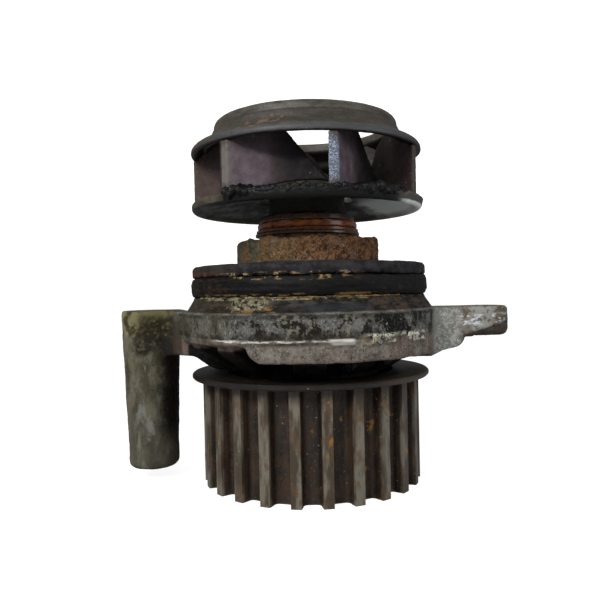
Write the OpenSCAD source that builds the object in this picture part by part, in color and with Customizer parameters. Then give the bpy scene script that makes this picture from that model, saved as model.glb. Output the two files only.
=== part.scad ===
// Belt-driven coolant pump: cast housing, double-row shaft bearing, mechanical seal,
// closed impeller and toothed pulley. The shaft runs along Z. z = 0 is the mounting face.

/* [Pulley] */
// Number of teeth
teeth = 24; // [24:1:24]
// Belt pitch
belt_pitch = 8; // [8:1:8]
// Distance from the belt's pitch line to the tooth tips
pitch_offset = 0.686; // [0.686:0.001:0.686]
// Depth of a tooth groove
groove_depth = 3.42; // [3:0.01:3.6]
// Upper end of the toothed rim
pulley_top_z = -18; // [-18.5:0.1:-17.5]
// Outer end face of the toothed rim
pulley_end_z = -46.3; // [-47:0.1:-45.5]
// Radius of the guide disc
guide_r = 32.7; // [31:0.1:33]
// Thickness of the guide disc
guide_t = 1.4; // [1:0.1:1.6]

/* [Housing] */
// Radius of the flange
flange_r = 35.2; // [35:0.1:36]
// Thickness of the machined flange band
flange_t = 6; // [5:0.1:6.5]
// Depth of the deep front lip below the mounting face
lip_z = -11.55; // [-12:0.05:-11]
// Radius of the spigot that enters the engine block
spigot_r = 32.2; // [32:0.1:32.5]
// Height of the spigot's top
spigot_z = 12.2; // [11.5:0.1:12.5]
// Radius of the seal boss
boss_r = 19.8; // [19:0.1:21]
// Height of the seal boss
boss_z = 19; // [18.5:0.1:19]
// Radius of the bearing neck
neck_r = 19; // [18.5:0.1:20]
// Lower end of the bearing neck
neck_z = -38.5; // [-39:0.1:-38.2]
// Distance of the long post from the shaft axis
post_x = -44.6; // [-45:0.1:-44]
// Length of the long post
post_len = 43; // [42:0.5:44]
// Radius of each fixing-bolt hole
bolt_r = 4.3; // [4.2:0.05:4.4]
// Distance of the short ears' holes from the shaft axis
ear_x = 46.9; // [46.4:0.1:47.4]
// Outer radius of a short ear
ear_r = 8.3; // [8:0.1:8.6]
// Thickness of a short ear
ear_t = 8.2; // [8:0.1:9]

/* [Bearing] */
// Shaft radius inside the bearing
shaft_r = 8; // [8:0.1:8]
// Outer radius of the bearing
bearing_r = 15; // [15:0.1:15]
// Ball radius
ball_r = 2.6; // [2.5:0.05:2.6]
// Balls in one row
balls = 8; // [7:1:9]
// Running clearance of a ball in its race
race_gap = 0.06; // [0.05:0.01:0.08]

/* [Impeller] */
// Radius over the blade tips
blade_tip_r = 31.4; // [30.9:0.1:31.5]
// Number of blades
blades = 7; // [6:1:7]
// Thickness of a blade
blade_t = 2.2; // [2:0.1:2.5]
// Inner radius of the inlet eye
eye_r = 22.8; // [22:0.1:23]
// Height of the inlet eye's rim
eye_z = 51.6; // [51:0.1:52]

/* [Hidden] */
pulley_r = teeth * belt_pitch / (2 * PI) - pitch_offset;
root_r = pulley_r - groove_depth;
cup_r = 23;
web_top_z = -39.5;
web_end_z = -44.6;
hub_r = 13;
seal_shaft_r = 6.5;
shaft_end_z = -45.9;
shaft_top_z = 36.2;
race_pitch_r = 9.9;
race_in_r = 11.8;
row_z = [-13, -30];
bearing_top_z = -5;
bearing_end_z = -38;
seal_bore_r = 11.4;
groove_r = 29;
groove_z0 = 3.9;
groove_z1 = 8.9;
plate_t = 1.9;
rim_z0 = 26.7;
shroud_z = 42.2;
first_tip = -40.7;
blade_lean = 140;
rib_angles = [-62, -38, 30, 54, 90, 128, 163, 197, 232];
weep_angle = 215;
disc_seal_t = 1.2;
$fn = 96;

// Angles run from -Y (the front) towards +X.
module at_angle(a, r = 0) {
    rotate([0, 0, a - 90])
        translate([r, 0, 0])
            children();
}

// A ring with a rounded section.
module round_ring(r0, r1, z0, z1, corner) {
    rotate_extrude()
        union() {
            translate([r0 + corner, z0]) square([r1 - r0 - 2 * corner, z1 - z0]);
            translate([r0, z0 + corner]) square([r1 - r0, z1 - z0 - 2 * corner]);
            for (r = [r0 + corner, r1 - corner], z = [z0 + corner, z1 - corner])
                translate([r, z]) circle(r = corner, $fn = 32);
        }
}

module tube(r0, r1, z0, z1) {
    translate([0, 0, z0])
        difference() {
            cylinder(r = r1, h = z1 - z0);
            translate([0, 0, -1]) cylinder(r = r0, h = z1 - z0 + 2);
        }
}

// ---- housing ----

module housing_body() {
    rotate_extrude()
        polygon([
            [0, neck_z], [neck_r - 0.7, neck_z], [neck_r, neck_z + 0.7], [neck_r, -14.4],
            [24, -10.4], [33.4, -7.7], [flange_r - 0.3, -7.7], [flange_r - 0.3, -flange_t],
            [flange_r, -flange_t], [flange_r, -0.5], [flange_r - 0.5, 0], [34, 0], [33.2, 1.2],
            [31.9, 3.3], [31.9, groove_z0], [groove_r, groove_z0], [groove_r, groove_z1],
            [spigot_r, groove_z1], [spigot_r, spigot_z - 0.8], [spigot_r - 0.6, spigot_z],
            [boss_r, spigot_z], [boss_r, boss_z - 0.8], [boss_r - 0.8, boss_z], [0, boss_z]
        ]);
}

// Deep part of the rim over the front and right of the flange, with a rounded left end.
module front_lip() {
    intersection() {
        tube(31, flange_r - 0.3, lip_z, -flange_t);
        rotate([90, 0, 0])
            linear_extrude(60)
                polygon([[-14.7, 0], [-14.7, -8.4], [-14.3, -9.6], [-13.4, -10.6], [-12.1, -11.3],
                         [-10.5, -11.7], [-9, -12.5], [60, -12.5], [60, 0]]);
    }
}

// Gusset under the flange: a plate in the plane of the shaft, narrow side out.
module gusset(a, reach, half_t) {
    at_angle(a)
        rotate([90, 0, 0])
            translate([0, 0, -half_t])
                linear_extrude(2 * half_t)
                    polygon([[17, -6.5], [reach, -6.5], [reach, -9.4], [23.4, -15.7], [17, -15.7]]);
}

module post_and_web() {
    translate([post_x, 0, 0])
        rotate_extrude()
            union() {
                polygon([[0, -post_len], [5.4, -post_len], [5.4, -41.5], [6.9, -41.5],
                         [8.1, -0.5], [7.6, 0], [0, 0]]);
                translate([5.4, -post_len + 1.5]) circle(r = 1.5, $fn = 32);
            }
    translate([0, 6.5, 0])
        rotate([90, 0, 0])
            linear_extrude(13)
                polygon([[post_x, 0], [-30, 0], [-17, -6.5], [-17, -15.9], [-25, -15.9],
                         [-27.2, -15], [-31.4, -12.2], [-37, -11.6], [post_x, -12.6]]);
}

// Disc with rounded edges, the lower one softer.
module soft_disc(r, z0, z1, low, high) {
    rotate_extrude()
        polygon(concat(
            [[0, z0]],
            [for (t = [-90 : 15 : 0]) [r - low + low * cos(t), z0 + low + low * sin(t)]],
            [for (t = [0 : 15 : 90]) [r - high + high * cos(t), z1 - high + high * sin(t)]],
            [[0, z1]]
        ));
}

module ear(a) {
    at_angle(a)
        hull()
            for (x = [30, ear_x]) translate([x, 0, 0]) soft_disc(ear_r, -ear_t, 0, 2, 0.9);
}

// Thick root between the flange and the right ear.
module ear_root() {
    translate([0, 8.2, 0])
        rotate([90, 0, 0])
            linear_extrude(16.4)
                polygon([[28, -1], [41.4, -1], [41.5, -8.1], [41.3, -9], [40.6, -9.9],
                         [39.3, -10.7], [37.2, -11.15], [34.1, -12.4], [32.8, -13.1], [28, -13.1]]);
}

// Room for the head of the bolt under an ear.
module bolt_head_space(x, y) {
    translate([x, y, -ear_t - 8]) cylinder(r = 6.8, h = 8);
}

module bolt_hole(x, y, depth) {
    translate([x, y, -depth - 1]) cylinder(r = bolt_r, h = depth + 2);
}

module weep_hole() {
    at_angle(weep_angle)
        translate([9, 0, 0.6])
            rotate([0, 115, 0])
                cylinder(r = 1.6, h = 30);
}

module housing() {
    color("darkgray")
        difference() {
            union() {
                housing_body();
                front_lip();
                for (a = rib_angles) gusset(a, 33.2, 2.7);
                gusset(0, 33.2, 4);
                post_and_web();
                ear(90);
                ear_root();
                ear(180);
            }
            translate([0, 0, neck_z - 1]) cylinder(r = bearing_r, h = bearing_top_z - neck_z + 1);
            translate([0, 0, bearing_top_z - 1]) cylinder(r = 12, h = 4 - bearing_top_z + 1);
            translate([0, 0, 3]) cylinder(r = seal_bore_r, h = boss_z);
            bolt_hole(post_x, 0, post_len);
            bolt_hole(ear_x, 0, ear_t);
            bolt_head_space(ear_x, 0);
            bolt_hole(0, ear_x, ear_t);
            weep_hole();
        }
}

module flange_o_ring() {
    color("black") round_ring(groove_r + 0.05, 32.5, 4.1, 8.7, 1.3);
}

// ---- bearing ----

module race_groove(z) {
    translate([0, 0, z])
        rotate_extrude()
            translate([race_pitch_r, 0]) circle(r = ball_r + race_gap, $fn = 48);
}

module bearing_outer_ring() {
    color("silver")
        difference() {
            tube(race_in_r, bearing_r, bearing_end_z, bearing_top_z);
            for (z = row_z) race_groove(z);
        }
}

module disc_seal(z) {
    color("dimgray") tube(shaft_r + 0.08, race_in_r, z, z + disc_seal_t);
}

module bearing_seal_inner() {
    disc_seal(bearing_top_z - 0.5 - disc_seal_t);
}

module bearing_seal_outer() {
    disc_seal(bearing_end_z + 0.5);
}

module shaft() {
    color("lightgray")
        difference() {
            rotate_extrude()
                polygon([
                    [0, shaft_end_z], [shaft_r - 0.8, shaft_end_z], [shaft_r, shaft_end_z + 0.8],
                    [shaft_r, 2.2], [shaft_r - 0.6, 2.8], [seal_shaft_r, 2.8],
                    [seal_shaft_r, shaft_top_z - 0.8], [seal_shaft_r - 0.8, shaft_top_z],
                    [0, shaft_top_z]
                ]);
            for (z = row_z) race_groove(z);
        }
}

module ball_row(z) {
    for (i = [0 : balls - 1])
        rotate([0, 0, i * 360 / balls])
            translate([race_pitch_r, 0, z])
                sphere(r = ball_r, $fn = 48);
}

module balls_inner() {
    color("silver") ball_row(row_z[0]);
}

module balls_outer() {
    color("silver") ball_row(row_z[1]);
}

module cage(z) {
    difference() {
        tube(9.1, 10.7, z - 3.6, z + 3.6);
        for (i = [0 : balls - 1])
            rotate([0, 0, i * 360 / balls])
                translate([race_pitch_r, 0, z])
                    sphere(r = ball_r + 0.16, $fn = 48);
    }
}

module ball_cage_inner() {
    color("goldenrod") cage(row_z[0]);
}

module ball_cage_outer() {
    color("goldenrod") cage(row_z[1]);
}

// ---- mechanical seal ----

// Pressed-in cup with an outward collar above the boss.
module seal_cup() {
    color("peru")
        rotate_extrude()
            polygon([
                [7.8, 6], [seal_bore_r, 6], [seal_bore_r, 20.3], [14.5, 20.3], [14.5, 20.8],
                [14.2, 21.2], [14.2, 21.8], [10.7, 21.8], [10.7, 6.7], [7.8, 6.7]
            ]);
}

module seal_seat_ring() {
    color("wheat") round_ring(seal_bore_r, 12.5, 19, 20.3, 0.3);
}

// Rubber bellows: three shallow folds.
module seal_bellows() {
    color("black")
        rotate_extrude()
            polygon(concat(
                [for (i = [0 : 24]) [8.2 + 0.35 * cos(i * 45), 6.7 + i * 6.8 / 24]],
                [for (i = [24 : -1 : 0]) [7.7 + 0.35 * cos(i * 45), 6.7 + i * 6.8 / 24]]
            ));
}

// Coil spring: the level section of a wire wound at a small pitch.
module seal_spring() {
    wire_r = 0.45;
    coil_r = 9.75;
    turns = 3;
    rise = 6.4;
    spread = 360 * wire_r * turns / rise;
    color("silver")
        translate([0, 0, 6.9])
            linear_extrude(height = rise, twist = -360 * turns, slices = 54, segments = 10)
                polygon([
                    for (i = [0 : 9])
                        let (t = i * 36, r = coil_r + wire_r * cos(t), a = spread * sin(t))
                            [r * cos(a), r * sin(a)]
                ]);
}

module seal_carbon_ring() {
    color("dimgray") tube(7.6, 10.2, 13.5, 17.95);
}

module seal_mating_ring() {
    color("ivory") tube(7.1, 10.2, 18.02, 22.1);
}

module seal_sleeve() {
    color("sienna") {
        rotate_extrude()
            polygon([
                [seal_shaft_r, 9], [7.1, 9], [7.1, 22.1], [13.6, 22.1], [13.85, 22.4],
                [13.85, 23.4], [13.5, 23.8], [seal_shaft_r, 23.8]
            ]);
    }
}

module seal_rubber_collar() {
    color("saddlebrown") round_ring(seal_shaft_r, 13.2, 23.8, 25.7, 0.5);
}

// ---- impeller ----

module impeller_insert() {
    color("darkkhaki") tube(seal_shaft_r, 8.6, 25.7, 36.6);
}

// Height of the back plate's upper face: it rises towards the hub.
plate_top = [[31.2, 29.5], [28.2, 30.1], [23.6, 31.25], [20.5, 32.5], [18, 33.5], [14, 34.3], [9.9, 34.6]];
// Lower face of the shroud's cone.
cone_in = [[30.4, shroud_z], [24.2, 47.6], [23.2, 48.3], [eye_r, 49]];

// Round hole in the back plate that evens out the coolant's pressure.
module balance_hole(a) {
    at_angle(a, 15.8) translate([0, 0, 25]) cylinder(r = 2.9, h = 12, $fn = 48);
}

module impeller_back_plate() {
    color("saddlebrown")
        difference() {
            rotate_extrude()
                polygon(concat(
                    [[8.6, 25.7], [10.6, 25.7], [10.6, 34.4 - plate_t]],
                    [for (i = [5 : -1 : 1]) [plate_top[i][0], plate_top[i][1] - plate_t]],
                    [[29, 28.1], [30.2, rim_z0], [31, rim_z0], [31.8, rim_z0 + 0.8], [31.8, 28.9]],
                    plate_top,
                    [[9.6, 35.6], [8.6, 35.6]]
                ));
            for (a = [-137, -43, 43, 137]) balance_hole(a);
        }
}

// Solid of revolution between the back plate and the shroud, which the blades fill in part.
module blade_space() {
    rotate_extrude()
        polygon(concat(
            [[blade_tip_r, shroud_z], [blade_tip_r, 29.5], [plate_top[0][0], plate_top[0][1]]],
            [for (i = [1 : 6]) plate_top[i]],
            [[9.9, 44], [22, 49.4], [eye_r - 0.02, 49]],
            [for (i = [2 : -1 : 0]) cone_in[i]]
        ));
}

// One blade: a nearly flat plate, leaning from its tip towards the hub, with a slanted inner end.
module blade(tip_angle) {
    bow_r = 68;
    sag = 1;
    chord = 28.9;
    z0 = 29;
    h = 21;
    intersection() {
        at_angle(tip_angle, blade_tip_r)
            rotate([0, 0, blade_lean])
                intersection() {
                    translate([0, 0, z0])
                        linear_extrude(h)
                            translate([chord / 2, sag - bow_r])
                                difference() {
                                    circle(r = bow_r + blade_t / 2, $fn = 200);
                                    circle(r = bow_r - blade_t / 2, $fn = 200);
                                }
                    translate([0, 10, z0])
                        rotate([90, 0, 0])
                            linear_extrude(20)
                                polygon([[-6, 0], [chord, 0], [25.8, 4.4], [19.2, 12], [16.2, 15.7],
                                         [12.6, 17.6], [9, h], [-6, h]]);
                }
        blade_space();
    }
}

module impeller_blades() {
    color("sienna")
        for (i = [0 : blades - 1]) blade(first_tip + i * 360 / blades);
}

module impeller_shroud() {
    color("dimgray")
        rotate_extrude()
            polygon(concat(
                cone_in,
                [[eye_r, eye_z - 0.8], [23.1, eye_z - 0.2], [23.7, eye_z], [24.5, eye_z - 0.15],
                 [25.1, eye_z - 0.7], [25.4, eye_z - 1.5], [25.4, 49.1], [25.8, 48.8], [31.1, 44.2],
                 [31.6, 43.6], [31.7, 43.1], [31.7, shroud_z + 0.4], [31.5, shroud_z]]
            ));
}

// ---- pulley ----

module tooth_space() {
    foot_r = 1.2;
    foot_x = 1;
    base = root_r + foot_r;
    polygon([[-2.15, base], [-2.72, pulley_r + 0.4], [2.72, pulley_r + 0.4], [2.15, base]]);
    translate([-foot_x, root_r]) square([2 * foot_x, 3]);
    for (x = [-foot_x, foot_x])
        translate([x, base]) circle(r = foot_r, $fn = 32);
}

module pulley() {
    color("dimgray") {
        difference() {
            union() {
                translate([0, 0, pulley_end_z])
                    linear_extrude(pulley_top_z - pulley_end_z)
                        difference() {
                            circle(r = pulley_r);
                            circle(r = cup_r);
                            for (i = [0 : teeth - 1])
                                rotate([0, 0, 180 + i * 360 / teeth]) tooth_space();
                        }
                tube(shaft_r, cup_r + 0.5, web_end_z, web_top_z);
                tube(shaft_r, hub_r, pulley_end_z, web_top_z);
            }
        }
    }
}

module pulley_guide_disc() {
    color("dimgray")
        rotate_extrude()
            polygon([
                [cup_r, pulley_top_z], [guide_r - 0.4, pulley_top_z], [guide_r, pulley_top_z + 0.4],
                [guide_r, pulley_top_z + guide_t - 0.4], [guide_r - 0.4, pulley_top_z + guide_t],
                [cup_r, pulley_top_z + guide_t]
            ]);
}

housing();
flange_o_ring();
bearing_outer_ring();
bearing_seal_inner();
bearing_seal_outer();
shaft();
balls_inner();
balls_outer();
ball_cage_inner();
ball_cage_outer();
seal_cup();
seal_seat_ring();
seal_bellows();
seal_spring();
seal_carbon_ring();
seal_mating_ring();
seal_sleeve();
seal_rubber_collar();
impeller_insert();
impeller_back_plate();
impeller_blades();
impeller_shroud();
pulley();
pulley_guide_disc();
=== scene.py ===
import math

import bpy
import numpy as np
from mathutils import Matrix, Vector


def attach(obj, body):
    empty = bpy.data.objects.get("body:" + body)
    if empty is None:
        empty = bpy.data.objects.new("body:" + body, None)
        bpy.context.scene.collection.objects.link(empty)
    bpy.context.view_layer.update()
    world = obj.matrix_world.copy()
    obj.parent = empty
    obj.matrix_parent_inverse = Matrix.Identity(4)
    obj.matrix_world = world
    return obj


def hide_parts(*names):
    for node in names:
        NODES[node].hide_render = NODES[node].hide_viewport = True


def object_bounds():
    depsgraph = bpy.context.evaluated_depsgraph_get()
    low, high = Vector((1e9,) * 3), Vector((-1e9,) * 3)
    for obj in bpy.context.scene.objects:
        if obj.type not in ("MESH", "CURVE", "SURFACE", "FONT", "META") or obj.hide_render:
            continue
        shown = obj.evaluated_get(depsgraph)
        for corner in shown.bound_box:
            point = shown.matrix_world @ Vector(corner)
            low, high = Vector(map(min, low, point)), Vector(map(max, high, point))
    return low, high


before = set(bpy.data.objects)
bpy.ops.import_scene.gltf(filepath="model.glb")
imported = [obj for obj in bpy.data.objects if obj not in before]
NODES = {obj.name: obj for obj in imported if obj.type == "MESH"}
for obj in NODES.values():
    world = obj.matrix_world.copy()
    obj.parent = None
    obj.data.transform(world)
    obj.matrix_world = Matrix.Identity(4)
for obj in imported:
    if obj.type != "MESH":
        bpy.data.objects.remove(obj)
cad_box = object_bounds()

MM = 0.001

# Heights of the casting's regions and places of its bolt holes, in millimetres.
COLLAR_Z0, COLLAR_Z1 = 8.9, 12.2
CONE_TOP = 3.6
BAND_LOW = -6.0
LIP_LOW = -11.5
POST_X, EAR_X = -44.6, 46.9

# The camera: place in millimetres, small turns in radians, focal length for a 36 mm sensor.
CAMERA_AT = (0.504, -175.446, 5.4815)
YAW, PITCH, ROLL = 0.0169, -0.0165, 0.0220
LENS = 37.435


# ---- camera, light, floor ----

def make_camera():
    data = bpy.data.cameras.new("camera")
    data.sensor_width = 36.0
    data.lens = LENS
    data.clip_start = 0.01
    cam = bpy.data.objects.new("camera", data)
    bpy.context.scene.collection.objects.link(cam)
    turn = Matrix.Rotation(YAW, 3, "Z") @ Matrix.Rotation(PITCH, 3, "X") @ Matrix.Rotation(ROLL, 3, "Y")
    right, ahead, up = turn.col[0], turn.col[1], turn.col[2]
    axes = Matrix((right, up, -ahead)).transposed()
    cam.matrix_world = Matrix.Translation(Vector(CAMERA_AT) * MM) @ axes.to_4x4()
    bpy.context.scene.camera = cam


def make_light(name, size, power, place, target=(0, 0, 0)):
    data = bpy.data.lights.new(name, "AREA")
    data.shape = "RECTANGLE"
    data.size, data.size_y = size
    data.energy = power
    lamp = bpy.data.objects.new(name, data)
    bpy.context.scene.collection.objects.link(lamp)
    lamp.location = place
    lamp.rotation_euler = (Vector(target) - Vector(place)).to_track_quat("-Z", "Y").to_euler()


def seen_by_camera(tree, other, seen, out):
    """The camera sees one shader, and the object is lit by the other."""
    path = tree.nodes.new("ShaderNodeLightPath")
    mix = tree.nodes.new("ShaderNodeMixShader")
    tree.links.new(path.outputs["Is Camera Ray"], mix.inputs[0])
    tree.links.new(other, mix.inputs[1])
    tree.links.new(seen, mix.inputs[2])
    tree.links.new(mix.outputs[0], out)


def make_world():
    world = bpy.data.worlds.new("studio")
    bpy.context.scene.world = world
    world.use_nodes = True
    tree = world.node_tree
    tree.nodes.clear()
    out = tree.nodes.new("ShaderNodeOutputWorld")
    white = tree.nodes.new("ShaderNodeBackground")
    white.inputs[0].default_value = (1, 1, 1, 1)
    white.inputs[1].default_value = 1.3
    soft = tree.nodes.new("ShaderNodeBackground")
    soft.inputs[0].default_value = (0.95, 0.97, 1.0, 1)
    coords = tree.nodes.new("ShaderNodeTexCoord")
    split = tree.nodes.new("ShaderNodeSeparateXYZ")
    level = tree.nodes.new("ShaderNodeMapRange")
    level.inputs["From Min"].default_value = -0.6
    level.inputs["From Max"].default_value = 1.0
    level.inputs["To Min"].default_value = 0.03
    level.inputs["To Max"].default_value = 0.34
    tree.links.new(coords.outputs["Generated"], split.inputs[0])
    tree.links.new(split.outputs[2], level.inputs["Value"])
    tree.links.new(level.outputs[0], soft.inputs[1])
    seen_by_camera(tree, soft.outputs[0], white.outputs[0], out.inputs[0])


def make_floor(z):
    side = 3.0
    mesh = bpy.data.meshes.new("floor")
    corners = [(-side, -side, z), (side, -side, z), (side, side, z), (-side, side, z)]
    mesh.from_pydata(corners, [], [(0, 1, 2, 3)])
    floor = bpy.data.objects.new("floor", mesh)
    bpy.context.scene.collection.objects.link(floor)
    mat = bpy.data.materials.new("floor")
    mat.use_nodes = True
    tree = mat.node_tree
    tree.nodes.clear()
    out = tree.nodes.new("ShaderNodeOutputMaterial")
    matt = tree.nodes.new("ShaderNodeBsdfDiffuse")
    matt.inputs[0].default_value = (0.5, 0.5, 0.5, 1)
    glow = tree.nodes.new("ShaderNodeEmission")
    glow.inputs[1].default_value = 0.9
    both = tree.nodes.new("ShaderNodeAddShader")
    tree.links.new(matt.outputs[0], both.inputs[0])
    tree.links.new(glow.outputs[0], both.inputs[1])
    seen_by_camera(tree, matt.outputs[0], both.outputs[0], out.inputs["Surface"])
    mesh.materials.append(mat)


def make_stage():
    bpy.context.scene.view_settings.view_transform = "Standard"
    make_camera()
    make_world()
    make_floor(cad_box[0][2])
    make_light("key", (0.26, 0.20), 2.3, (-0.26, -0.40, 0.34), (0, 0, 0))
    make_light("front", (0.08, 0.05), 0.22, (0.03, -0.40, 0.20), (0, 0, 0.01))
    make_light("right", (0.20, 0.30), 0.45, (0.42, -0.16, 0.16), (0, 0, 0))


# ---- noise and mesh work in plain numbers ----

def lattice(ix, iy, iz, seed):
    h = (ix * 374761393 + iy * 668265263 + iz * 1440662683 + seed * 2654435761) & 0xFFFFFFFF
    h = ((h ^ (h >> 13)) * 1274126177) & 0xFFFFFFFF
    return ((h ^ (h >> 16)) & 0xFFFFFF) / float(0x7FFFFF) - 1.0


def value_noise(points, size, seed):
    q = points / size
    base = np.floor(q).astype(np.int64)
    f = q - base
    f = f * f * (3 - 2 * f)
    total = np.zeros(len(points))
    for dx in (0, 1):
        wx = f[:, 0] if dx else 1 - f[:, 0]
        for dy in (0, 1):
            wy = f[:, 1] if dy else 1 - f[:, 1]
            for dz in (0, 1):
                wz = f[:, 2] if dz else 1 - f[:, 2]
                total += wx * wy * wz * lattice(base[:, 0] + dx, base[:, 1] + dy, base[:, 2] + dz, seed)
    return total


def fbm(points, size, seed, octaves=4, gain=0.5):
    total, weight = np.zeros(len(points)), 1.0
    for k in range(octaves):
        total += weight * value_noise(points, size / 2 ** k, seed + 17 * k)
        weight *= gain
    return total


def rise(x, lo, hi):
    t = np.clip((x - lo) / (hi - lo), 0, 1)
    return t * t * (3 - 2 * t)


def between(x, lo, hi, soft):
    return rise(x, lo - soft, lo + soft) * (1 - rise(x, hi - soft, hi + soft))


def dense_copy(node, voxel, rounds=3, share=0.5):
    """A finely and evenly meshed copy of a CAD node, with its sharp edges slightly worn."""
    src = NODES[node]
    tmp = bpy.data.objects.new(node + "_tmp", src.data.copy())
    bpy.context.scene.collection.objects.link(tmp)
    remesh = tmp.modifiers.new("remesh", "REMESH")
    remesh.mode = "VOXEL"
    remesh.voxel_size = voxel * MM
    remesh.use_smooth_shade = True
    soften = tmp.modifiers.new("soften", "SMOOTH")
    soften.factor = share
    soften.iterations = rounds
    bpy.context.view_layer.update()
    graph = bpy.context.evaluated_depsgraph_get()
    mesh = bpy.data.meshes.new_from_object(tmp.evaluated_get(graph))
    mesh.name = node + "_worn"
    mesh.materials.clear()
    piece = bpy.data.objects.new(node + "_worn", mesh)
    bpy.context.scene.collection.objects.link(piece)
    bpy.data.objects.remove(tmp)
    return piece


def read_points(mesh):
    co = np.empty(len(mesh.vertices) * 3)
    mesh.vertices.foreach_get("co", co)
    no = np.empty(len(mesh.vertices) * 3)
    mesh.vertex_normals.foreach_get("vector", no)
    return co.reshape(-1, 3) / MM, no.reshape(-1, 3)


def write_points(mesh, co):
    mesh.vertices.foreach_set("co", (co * MM).ravel())
    mesh.update()


def polar(co):
    """Radius, angle in degrees from the front towards the right ear, and height."""
    return np.hypot(co[:, 0], co[:, 1]), np.degrees(np.arctan2(co[:, 0], -co[:, 1])), co[:, 2]


def settle(piece, node, body, material):
    piece.data.materials.append(material)
    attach(piece, body)
    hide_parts(node)


# ---- wear in the shapes ----

def wear_boss(co, r, a, z):
    """The rusty seal boss: lumpy wall, ragged upper edge, a few deep pits."""
    boss = between(r, 14.6, 21.5, 0.4) * between(z, 12.6, 20, 0.3) * rise(a, -62, -46)
    lumps = fbm(co, 2.6, 41, 4, 0.6)
    pits = rise(-value_noise(co, 0.9, 53), 0.45, 0.8)
    top = boss * rise(z, 17.6, 18.8) * rise(r, 16, 18.5)
    crumbs = 0.45 * fbm(co * [1, 1, 0.2], 2.6, 61, 4, 0.65)
    co[:, 2] += top * (crumbs + 0.35 * rise(r, 17.5, 19.5) - 0.1)
    return boss * (0.26 * lumps - 0.05 - 0.22 * pits)


def wear_collar(co, r, z):
    """Nicks on the collar's edges."""
    collar = between(r, 31, 33, 0.3) * between(z, 8.6, 12.6, 0.2)
    edge = 1 - between(z, 9.6, 11.6, 0.4)
    return -collar * (0.05 + edge * 0.38 * rise(fbm(co, 2.4, 71, 3), 0.05, 0.7))


def wear_parting_line(co, r, a, z):
    """The cast parting line with a torn fin, and a lumpy white deposit right of it."""
    flat = co * [1, 1, 0]
    wall = between(r, 33.5, 36.5, 0.3)
    line = BAND_LOW - 0.55 + 0.35 * np.sin(np.radians(a * 3.1 + 40)) + 0.25 * value_noise(flat, 3.0, 81)
    fin = between(a, -45, 21, 3) * np.exp(-((z - line) / 0.42) ** 2) * wall
    d = fin * (0.42 + 0.30 * fbm(flat, 1.8, 83, 3))
    d += 0.45 * between(a, 7, 17.5, 1.5) * between(z, -7.4, -5.6, 0.35) * wall
    crust = between(a, 21, 57, 2) * between(z, -7.4, -5.2, 0.5) * wall
    return d + crust * rise(fbm(co, 1.5, 91, 4, 0.6), -0.15, 0.6) * 0.75


def wear_ear(co, z):
    """The torn step on the right ear's rim."""
    ear = between(co[:, 0], 44.5, 57, 0.8) * rise(-co[:, 1], 3.0, 5.0)
    step = z + 5.0 - 0.28 * (co[:, 0] - 50) - 0.5 * value_noise(co, 2.5, 101)
    return ear * (0.14 * fbm(co, 2.2, 103, 3) - 0.75 * rise(-step, -0.15, 0.15))


def bolt_holes_kept(co):
    """0 inside the bolt holes and at their edges, 1 elsewhere."""
    keep = np.ones(len(co))
    for x, y in ((POST_X, 0), (EAR_X, 0), (0, EAR_X)):
        keep *= rise(np.hypot(co[:, 0] - x, co[:, 1] - y), 4.5, 5.2)
    return keep


def wear_housing(piece):
    co, no = read_points(piece.data)
    r, a, z = polar(co)
    outside = 1 - between(r, -1, 15.6, 0.3)
    hole = bolt_holes_kept(co)
    face = 1 - 0.8 * rise(no[:, 2], 0.8, 0.95) * between(z, -0.6, 0.6, 0.1)
    d = 0.05 * fbm(co, 0.9, 3, 3) + 0.09 * fbm(co, 5.0, 7, 3) - 0.05
    d += rise(r, 36.5, 38) * (0.14 * fbm(co, 7.0, 21, 3) + 0.01)
    lip = between(z, LIP_LOW - 0.8, BAND_LOW - 1.2, 0.5) * between(r, 30, 37, 0.5)
    d += lip * (0.10 * fbm(co, 2.2, 31, 4) - 0.03)
    d += wear_boss(co, r, a, z)
    d += wear_collar(co, r, z)
    d += wear_parting_line(co, r, a, z)
    # dried sealant on the cone below the ring groove
    patch = between(a, -34, -15, 2.5) * between(z, 0.8, 3.6, 0.5) * between(r, 31, 35, 0.4)
    d += patch * rise(fbm(co, 1.3, 97, 4, 0.6), -0.1, 0.7) * 0.7
    d += wear_ear(co, z)
    co += no * (d * outside * hole * face)[:, None]
    # the left arm and the post's top stand a little proud
    arm_top = rise(-co[:, 0], 34.5, 38) * rise(no[:, 2], 0.2, 0.7) * between(z, -0.8, 0.6, 0.1)
    co[:, 2] += 0.6 * arm_top
    write_points(piece.data, co)


def wear_ring(piece):
    co, no = read_points(piece.data)
    r, a, z = polar(co)
    d = 0.07 * fbm(co * [1, 1, 2.5], 3.5, 111, 4) + 0.03 * fbm(co, 0.7, 113, 2)
    d += 0.12 * fbm(co * [0.25, 0.25, 3], 2.4, 117, 3) * rise(r, 31, 32)
    d += 0.10 * rise(a, 35, 80) + 0.30 * rise(np.abs(no[:, 2]), 0.5, 0.9)
    co += no * (d - 0.04)[:, None]
    write_points(piece.data, co)


def wear_back_plate(piece):
    co, no = read_points(piece.data)
    r, a, z = polar(co)
    d = 0.025 * fbm(co, 1.2, 121, 3)
    soot = rise(r, 24, 28) * between(a, -36, 88, 6)
    d += soot * rise(no[:, 2], -0.3, 0.5) * (0.22 + 0.30 * fbm(co, 1.7, 123, 4, 0.6))
    co += no * (d - 0.01)[:, None]
    write_points(piece.data, co)


def wear_blades(piece):
    co, no = read_points(piece.data)
    r, a, z = polar(co)
    d = 0.03 * fbm(co, 1.1, 131, 3) + 0.03 * fbm(co, 6, 133, 2)
    d -= 0.12 * rise(r, 29.8, 30.7) * rise(fbm(co, 1.0, 137, 3), 0.1, 0.7)
    co += no * d[:, None]
    write_points(piece.data, co)


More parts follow.
